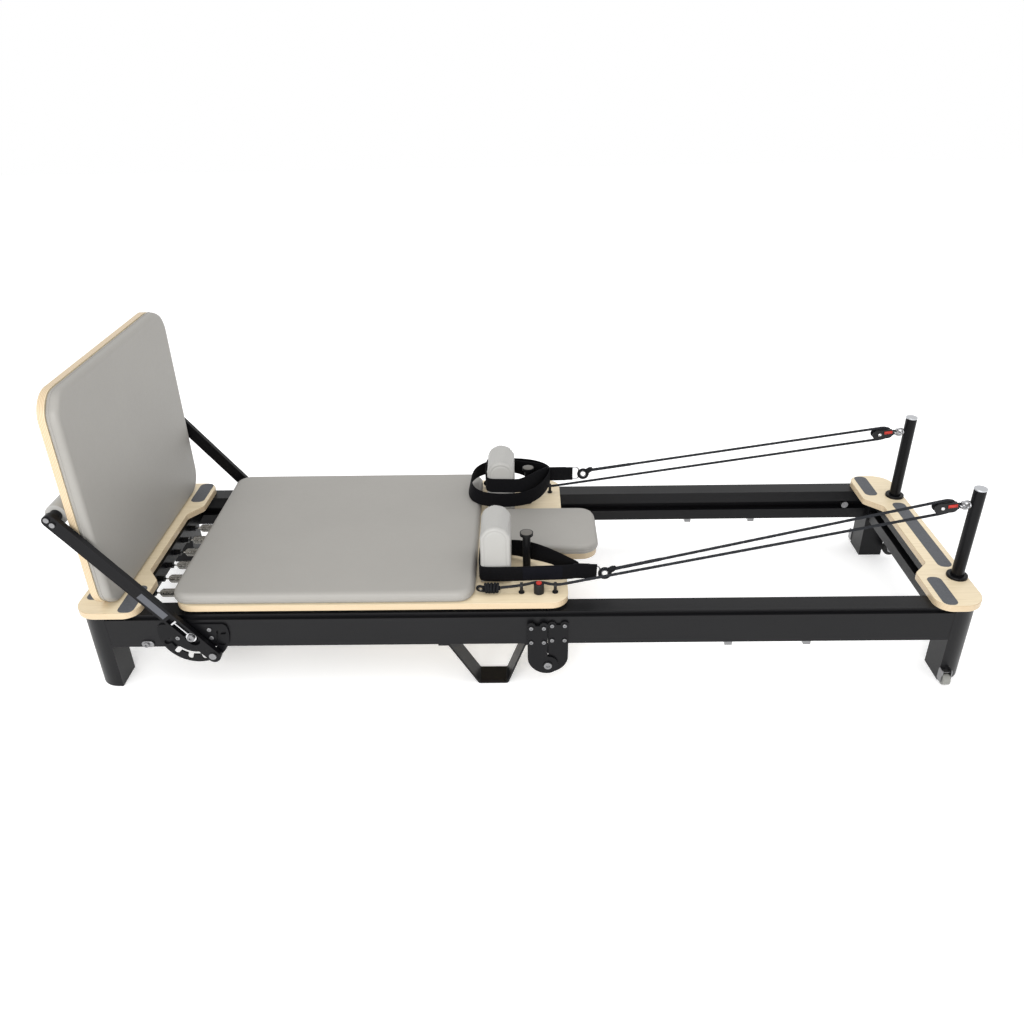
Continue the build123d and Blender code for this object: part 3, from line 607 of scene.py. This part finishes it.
def add_pads():
    """Carriage, headrest and jump board pads."""
    low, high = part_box("carriage_pad")
    flat = Matrix.Identity(3)
    centre = (low + high) / 2
    pad = cushion("carriage_pad_vinyl", (high.x - low.x, high.y - low.y), 0.046, high.z - low.z - 0.002,
                  0.015, 0.002, (centre.x, centre.y, low.z), flat, VINYL, seed=3)
    stand_for(pad, "carriage", "pad_vinyl", "carriage_pad")
    low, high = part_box("headrest_pad")
    centre = (low + high) / 2
    pad = cushion("headrest_pad_vinyl", (high.x - low.x, high.y - low.y), 0.048, high.z - low.z - 0.002,
                  0.013, 0.002, (centre.x, centre.y, low.z), flat, VINYL, seed=5)
    stand_for(pad, "headrest", "pad_vinyl", "headrest_pad")
    low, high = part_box("jump_board_pad")
    centre = (low + high) / 2
    upright = Matrix(((0, 0, 1), (1, 0, 0), (0, 1, 0)))
    pad = cushion("jump_board_pad_vinyl", (high.y - low.y, high.z - low.z), 0.069, high.x - low.x - 0.002,
                  0.014, 0.002, (low.x, centre.y, centre.z), upright, VINYL, seed=7)
    stand_for(pad, "jump_board", "pad_vinyl", "jump_board_pad")


def arch_outline(half, low, centre_z, inset, count=84):
    """Outline of a shoulder rest in its (x, z) plane, pulled in by inset."""
    radius = half - inset
    base = low + inset
    points = [(radius, base + (centre_z - base) * k / 8) for k in range(8)]
    for k in range(count + 1):
        a = math.pi * k / count
        points.append((radius * math.cos(a), centre_z + radius * math.sin(a)))
    points += [(-radius, centre_z + (base - centre_z) * k / 8) for k in range(1, 9)]
    steps = 6
    points += [(-radius + 2 * radius * k / steps, base) for k in range(1, steps)]
    return points


def add_shoulder_rest(side):
    """An arched block in light vinyl: rolled edges with gathers over the arch, and a seam round each face."""
    low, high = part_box("shoulder_rest_" + side)
    low.z = 0.266
    middle, half = (low.x + high.x) / 2, (high.x - low.x) / 2
    centre_z = high.z - half
    edge, depth = 0.0085, high.y - low.y
    front = [(-0.0006, edge + 0.016), (-0.0004, edge + 0.009), (0.0002, edge + 0.0035),
             (0.0014, edge + 0.0022), (0.0002, edge + 0.0008)]
    for k in range(1, 7):
        a = math.radians(90 * k / 6)
        front.append((edge * (1 - math.cos(a)), edge * (1 - math.sin(a))))
    stations = front + [(edge + 0.004, -0.0002), (edge + 0.010, 0.0)]
    stations += [(depth * k / 10, 0.0) for k in range(2, 9)]
    stations += [(depth - edge - 0.010, 0.0), (depth - edge - 0.004, -0.0002)]
    stations += [(depth - y, inset) for y, inset in reversed(front)]
    points, count = [], 0
    for y, inset in stations:
        outline = arch_outline(half, low.z, centre_z, inset)
        count = len(outline)
        rim = math.exp(-((min(y, depth - y) - 0.009) / 0.007) ** 2) if inset < edge else 0.0
        for x, z in outline:
            angle = math.atan2(z - centre_z, x)
            over = 1.0 if z > centre_z - 0.004 else max(0.0, 1 - (centre_z - z) / 0.030)
            gather = 0.0009 * rim * over * math.sin(44 * angle + 4 * math.sin(5 * angle))
            drift = 0.0005 * math.sin(40 * y + 9 * angle) if inset < edge else 0.0
            scale = 1 + (gather + drift) / half
            points.append((middle + x * scale, low.y + y, centre_z + (z - centre_z) * scale))
    faces = ring_faces(len(stations), count)
    faces.append(tuple(reversed(range(count))))
    faces.append(tuple(range(len(points) - count, len(points))))
    parts = [(points, faces, 0)]
    stem = [(0, 0.006), (0.002, 0.008), (0.074, 0.008)]
    for y in (low.y + 0.035, high.y - 0.035):
        parts.append(turned_part((middle, y, 0.192), (0, 0, 1), stem, 24, 1))
    rest = merged("shoulder_rest_" + side + "_vinyl", parts, VINYL_LIGHT, STEEL)
    stand_for(rest, "shoulder_rest_" + side, "rest_vinyl", "shoulder_rest_" + side)


# ---------------------------------------------------------------- springs

def add_springs():
    """Six close-wound coil springs."""
    low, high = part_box("springs")
    wire, turns, per_turn = 0.00165, 172, 10
    start, end = low.x + 0.014, high.x - 0.016
    parts = []
    for y in (-0.183, -0.110, -0.037, 0.037, 0.110, 0.183):
        line = []
        steps = turns * per_turn
        for k in range(steps + 1):
            a = 2 * math.pi * k / per_turn
            r = 0.01135 * min(1.0, 0.45 + 0.28 * min(k, steps - k) / per_turn)
            x = start + (end - start) * k / steps
            line.append(Vector((x, y + r * math.cos(a), 0.190 + r * math.sin(a))))
        parts.append(tube_part(line, wire, 6))
        for a, b in ((low.x, start + 0.001), (end - 0.001, high.x)):
            parts.append(tube_part([Vector((a, y, 0.190)), Vector((b, y, 0.190))], 0.0024, 10))
    springs = merged("springs_coil", parts, ZINC)
    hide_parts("springs")
    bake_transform(springs)


# ---------------------------------------------------------------- straps

def web_band(name, path, width, thick, mat, closed=False, tilt=None, edge=0.0007):
    """Webbing along a path of (x, y, z of its middle); its width stands along Z, leaning by tilt."""
    frames = frames_along([Vector(p) for p in path], closed)
    points, uv = [], []
    travelled = 0.0
    for i, (p, (t, _, _)) in enumerate(zip(path, frames)):
        p = Vector(p)
        travelled += (p - Vector(path[i - 1])).length if i else 0
        lean = tilt[i] if tilt else 0.0
        up = Vector((0, 0, 1))
        up = (up - t * up.dot(t)).normalized()
        out = t.cross(up).normalized()
        up, out = up * math.cos(lean) + out * math.sin(lean), out * math.cos(lean) - up * math.sin(lean)
        h, w = width[i] / 2 if isinstance(width, list) else width / 2, thick / 2
        section = [(-h, -w + edge), (-h + edge, -w), (h - edge, -w), (h, -w + edge),
                   (h, w - edge), (h - edge, w), (-h + edge, w), (-h, w - edge)]
        for rise, side in section:
            points.append(p + up * rise + out * side)
            uv.append((travelled, rise))
    around = 8
    faces = ring_faces(len(path), around)
    n = len(path)
    if closed:
        faces += [((n - 1) * around + k, (n - 1) * around + (k + 1) % around, (k + 1) % around, k)
                  for k in range(around)]
    else:
        faces.append(tuple(reversed(range(around))))
        faces.append(tuple(range((n - 1) * around, n * around)))
    return mesh_object(name, points, faces, mat, uv=uv)


def closed_spline(route, gap=0.006):
    """A smooth closed line near the route's points."""
    data = bpy.data.curves.new("loop", "CURVE")
    data.dimensions = "3D"
    data.resolution_u = 16
    line = data.splines.new("NURBS")
    line.points.add(len(route) - 1)
    for point, place in zip(line.points, route):
        point.co = (*place, 1)
    line.order_u = 4
    line.use_cyclic_u = True
    obj = bpy.data.objects.new("loop", data)
    SCENE.collection.objects.link(obj)
    mesh = bpy.data.meshes.new_from_object(obj)
    points = [v.co.copy() for v in mesh.vertices]
    bpy.data.objects.remove(obj)
    bpy.data.meshes.remove(mesh)
    return even_points(points, gap, closed=True)


def length_of(points, closed=False):
    pairs = zip(points, points[1:] + (points[:1] if closed else []))
    return sum((Vector(b) - Vector(a)).length for a, b in pairs)


def add_straps():
    """Webbing loops that hang on the shoulder rests, with their tails."""
    width, thick = 0.046, 0.003
    near = closed_spline([(-0.060, -0.2635, 0.296), (-0.112, -0.2635, 0.296), (-0.1305, -0.258, 0.296),
                          (-0.1305, -0.190, 0.294), (-0.1305, -0.125, 0.293), (-0.112, -0.1195, 0.293),
                          (-0.045, -0.1195, 0.296), (0.020, -0.155, 0.303), (0.075, -0.196, 0.308),
                          (0.125, -0.238, 0.304), (0.150, -0.252, 0.299), (0.125, -0.2600, 0.299),
                          (0.060, -0.2640, 0.300), (0.000, -0.2640, 0.298)])
    wide = [width + 0.010 * math.exp(-((p.x - 0.010) / 0.055) ** 2) * (p.y > -0.245) for p in near]
    band = web_band("strap_near_loop", near, wide, thick, WEB, closed=True)
    stand_for(band, "carriage", "webbing", "straps")
    length_of(near, True)
    front = [p + Vector((0, -0.0008, 0)) for p in near if p.y < -0.255 and -0.012 < p.x < 0.098]
    patch = web_band("strap_near_patch", sorted(front, key=lambda p: p.x), 0.040, thick, WEB_PATCH)
    stand_for(patch, "carriage", "webbing")
    tails = {"near": [(0.128, -0.2535, 0.299), (0.160, -0.2540, 0.298), (0.192, -0.2545, 0.297)],
             "far": [(0.068, 0.2345, 0.347), (0.110, 0.2350, 0.347), (0.151, 0.2355, 0.347)]}
    for side, tail in tails.items():
        line = even_points(spline_points(tail), 0.006)
        wide = [width * (1.0 if k < len(line) - 4 else 0.95) for k in range(len(line))]
        tail_band = web_band("strap_" + side + "_tail", line, wide, 0.0065, WEB)
        stand_for(tail_band, "carriage", "webbing")
        length_of(line)
    outer = closed_spline([(-0.055, 0.1210, 0.313), (-0.128, 0.1245, 0.315), (-0.172, 0.158, 0.320),
                           (-0.177, 0.220, 0.326), (-0.164, 0.290, 0.330), (-0.105, 0.324, 0.334),
                           (-0.040, 0.327, 0.338), (0.035, 0.300, 0.343), (0.078, 0.248, 0.348),
                           (0.080, 0.215, 0.347), (0.056, 0.164, 0.331), (0.012, 0.1285, 0.317)])
    lean = [0.22 * math.exp(-((p.x + 0.175) / 0.050) ** 2) for p in outer]
    band = web_band("strap_far_outer", outer, width, thick, WEB, closed=True, tilt=lean)
    stand_for(band, "carriage", "webbing")
    length_of(outer, True)
    inner = closed_spline([(-0.108, 0.1272, 0.363), (-0.070, 0.1270, 0.363), (-0.040, 0.1268, 0.362),
                           (-0.016, 0.1290, 0.361), (0.020, 0.1560, 0.359), (0.055, 0.2020, 0.354),
                           (0.078, 0.2330, 0.347), (0.060, 0.2400, 0.347), (0.010, 0.2560, 0.353),
                           (-0.040, 0.2690, 0.361), (-0.107, 0.2695, 0.366), (-0.1225, 0.2640, 0.367),
                           (-0.1228, 0.1950, 0.368), (-0.1225, 0.1320, 0.368)])
    wide = [width + 0.014 * min(1.0, max(0.0, (p.x + 0.020) / 0.050)) for p in inner]
    band = web_band("strap_far_inner", inner, wide, thick, WEB, closed=True)
    stand_for(band, "carriage", "webbing")
    length_of(inner, True)


def add_strap_rings():
    """The thin wire ring at each strap's end, and the rope's eye round its thimble."""
    for side, x, y, z, tail in (("near", 0.214, -0.255, 0.291, 0.190), ("far", 0.184, 0.235, 0.346, 0.149)):
        head = x - 0.0145
        wire = [(tail, -0.019), (tail, 0.019), (head - 0.004, 0.019), (head, 0.014), (head, -0.014),
                (head - 0.004, -0.019)]
        loop = even_points([Vector((px, y, z + 0.003 + pz)) for px, pz in wire], 0.003, closed=True)
        ring = merged("strap_" + side + "_ring", [tube_part(loop, 0.0021, 8, closed=True)], RING)
        stand_for(ring, "carriage", "chrome")
        way = Vector((0.0175, 0, 0.012)).normalized()
        start = Vector((x, y, z)) + way * 0.013
        knot = [(0, 0.0040), (0.001, 0.0078), (0.004, 0.0092), (0.0066, 0.0078), (0.0092, 0.0092),
                (0.0118, 0.0078), (0.0144, 0.0086), (0.018, 0.0062), (0.022, 0.0044)]
        eye = [tube_part(circle((x, y, z), (0, 1, 0), 0.0142, 40), 0.0047, 12, closed=True),
               tube_part(circle((x, y, z), (0, 1, 0), 0.0090, 30), 0.0019, 10, closed=True, mat=1),
               turned_part(start, way, knot, 24)]
        parts = merged("rope_" + side + "_eye", eye, ROPE, RING)
        stand_for(parts, "carriage", "rope", *(["rope_eyes"] if side == "near" else []))


def add_hanks():
    """Each rope's tail: strands bound together by turns of the same rope, with a small loop left open."""
    for side, y in (("near", -0.305), ("far", 0.304)):
        x, middle = -0.102, 0.2795
        parts = []
        for dy, dz in ((-0.0042, -0.0065), (0.0042, -0.0065), (0.0, 0.004)):
            line = [Vector((x + 0.031, y + dy * 0.6, 0.281 + dz * 0.4)), Vector((x, y + dy, middle + dz)),
                    Vector((x - 0.018, y + dy, middle + dz))]
            parts.append(tube_part(even_points(line, 0.003), 0.0037, 10))
        for k in range(5):
            turn = []
            for n in range(28):
                a = 2 * math.pi * n / 28
                rise = 0.0112 + 0.0006 * (k % 2)
                turn.append(Vector((x + 0.023 - k * 0.0078 + 0.0016 * math.sin(a + k),
                                    y + 0.0105 * math.cos(a), middle + rise * math.sin(a))))
            parts.append(tube_part(turn, 0.0038, 10, closed=True))
        ring = (x - 0.0225, y, middle - 0.0010)
        parts.append(tube_part(circle(ring, (0.10, 1, 0.30), 0.0092, 30), 0.0036, 10, closed=True))
        parts.append(tube_part(circle(ring, (0.10, 1, 0.30), 0.0056, 24), 0.0017, 8, closed=True, mat=1))
        hank = merged("rope_" + side + "_hank", parts, ROPE, ZINC)
        stand_for(hank, "carriage", "rope", *(["rope_hanks"] if side == "near" else []))


# ---------------------------------------------------------------- small fittings

PLATE_CORNERS = ((-1, -1), (1, -1), (1, 1), (-1, 1))
PLATE_FACES = [(0, 1, 2, 3), (7, 6, 5, 4), (0, 4, 5, 1), (1, 5, 6, 2), (2, 6, 7, 3), (3, 7, 4, 0)]


def add_label():
    """Plain grey strip along the near footbar arm's outer face."""
    angle = math.radians(128)
    along = Vector((math.cos(angle), 0, math.sin(angle)))
    across = Vector((-math.sin(angle), 0, math.cos(angle)))
    centre = Vector((-0.900, -0.3911, 0.186)) + along * 0.132
    half_l, half_w = 0.0445, 0.0103
    corners = [centre + along * a * half_l + across * b * half_w for a, b in PLATE_CORNERS]
    out = Vector((0, -0.0006, 0))
    points = corners + [c + out for c in corners]
    strip = mesh_object("footbar_label_strip", points, PLATE_FACES, LABEL)
    stand_for(strip, "footbar", "steel_black")


def add_pulley_tabs():
    """The red tab and the rivet on each pulley block."""
    rivet = [(0, 0.0055), (0.0012, 0.005), (0.002, 0.0025)]
    for side, y in (("near", -0.233), ("far", 0.233)):
        parts = []
        centre = Vector((1.106, y, 0.476))
        tip = Vector((1, 0, 0.12)).normalized()
        up = Vector((-0.12, 0, 1)).normalized()
        for out in (-1, 1):
            face = Vector((0, out * 0.0104, 0))
            middle = centre + tip * 0.016 + up * 0.005 + face
            corners = [middle + tip * (a * 0.012) + up * (b * 0.0045) for a, b in PLATE_CORNERS]
            thick = Vector((0, out * 0.0016, 0))
            points = corners + [c + thick for c in corners]
            parts.append((points, PLATE_FACES, 0))
            parts.append(turned_part(centre - tip * 0.009 + face, (0, out, 0), rivet, 20, 1))
        tab = merged("pulley_" + side + "_trim", parts, RED, CHROME)
        stand_for(tab, "head_frame", "red_plastic")


def add_shackles():
    """The eye bolt on each post, its ring, and the link with its pin that holds the pulley block."""
    parts = []
    for y in (-0.233, 0.233):
        parts.append(tube_part(circle((1.1600, y, 0.480), (0, 1, 0), 0.0110, 36), 0.0032, 12, closed=True))
        nut = [(0, 0.0050), (0.0015, 0.0095), (0.0055, 0.0095)]
        parts.append(turned_part((1.1665, y, 0.480), (1, 0, 0), nut, 6))
        corners = rounded_outline(0.0094, 0.0080, 0.0060, 6, 4)
        link = [Vector((1.1512 + p.x, y + p.y, 0.480)) for p in corners]
        parts.append(tube_part(link, 0.0027, 10, closed=True))
        pin = [(0, 0.0020), (0.001, 0.0046), (0.004, 0.0046), (0.0041, 0.0030), (0.017, 0.0030),
               (0.0171, 0.0040), (0.020, 0.0040)]
        parts.append(turned_part((1.1500, y, 0.470), (0, 0, 1), pin, 20))
    stand_for(merged("pulley_shackle_set", parts, RING), "head_frame", "chrome", "pulley_shackles")


def add_hinge_backing():
    """The thin dark strip behind the seam between the two leaves of each hinge."""
    parts = []
    for out in (-1, 1):
        xs, ys, zs = (0.0497, 0.0617), (out * 0.3652, out * 0.3625), (0.104, 0.1375)
        points = [Vector((xs[i & 1], ys[(i >> 1) & 1], zs[i >> 2])) for i in range(8)]
        faces = [(0, 2, 3, 1), (4, 5, 7, 6), (0, 1, 5, 4), (2, 6, 7, 3), (0, 4, 6, 2), (1, 3, 7, 5)]
        parts.append((points, [f if out < 0 else tuple(reversed(f)) for f in faces], 0))
    stand_for(merged("hinge_backing", parts, STEEL), "foot_frame", "steel_black")


def add_peg_tops():
    """The flat grey disc on each strap peg's head."""
    parts = []
    for x, y in ((0.001, -0.198), (0.009, 0.198)):
        disc = [(0, 0.0160), (0.0006, 0.0160), (0.0008, 0.0154)]
        parts.append(turned_part((x, y, 0.3889), (0, 0, 1), disc, 40))
    tops = merged("strap_peg_tops", parts, PEG_TOP)
    stand_for(tops, "carriage", "steel_black")


def dress_frame():
    """Materials for the CAD nodes that stay."""
    dress(RAIL, *both("foot_rail"), *both("head_rail"), "foot_end_rail", "head_end_rail", "foot_legs",
          "head_legs", "floor_brackets")
    dress(BIRCH, "foot_deck", "head_deck", "carriage_board", "headrest_board")
    dress(BIRCH_UPRIGHT, "jump_board")
    dress(GRIP, "foot_deck_grips", "head_deck_grips")
    dress(STEEL, "gear_plates", "foot_hinge_plates", "head_hinge_plates", "footbar_arms", "footbar_tube",
          "jump_board_tongues", "spring_bar", "carriage_frame", "rope_posts", "strap_pegs")
    dress(CHROME, "footbar_links")
    dress(BOLT, "foot_bolts", "head_bolts", "rail_catches", "footbar_bolts", "wheel_brackets")
    dress(VINYL_LIGHT, "footbar_sleeve")
    dress(SILVER, "post_caps")
    dress(PLASTIC, "pulley_blocks", "rope_fittings", *both("load_wheel_foot"), *both("load_wheel_head"))
    dress(PALE_PLASTIC, *both("floor_roller"))
    dress(PLASTIC, *both("pulley_sheave"))
    dress(TYRE, *both("transport_wheel"))
    dress(RED, *both("knob_button"))


add_camera()
add_rope("near", NEAR_ROUTE)
add_rope("far", FAR_ROUTE)
add_studio()
dress_frame()
add_pads()
add_shoulder_rest("near")
add_shoulder_rest("far")
add_springs()
add_strap_rings()
add_straps()
add_hanks()
add_label()
add_pulley_tabs()
add_peg_tops()
add_shackles()
add_hinge_backing()
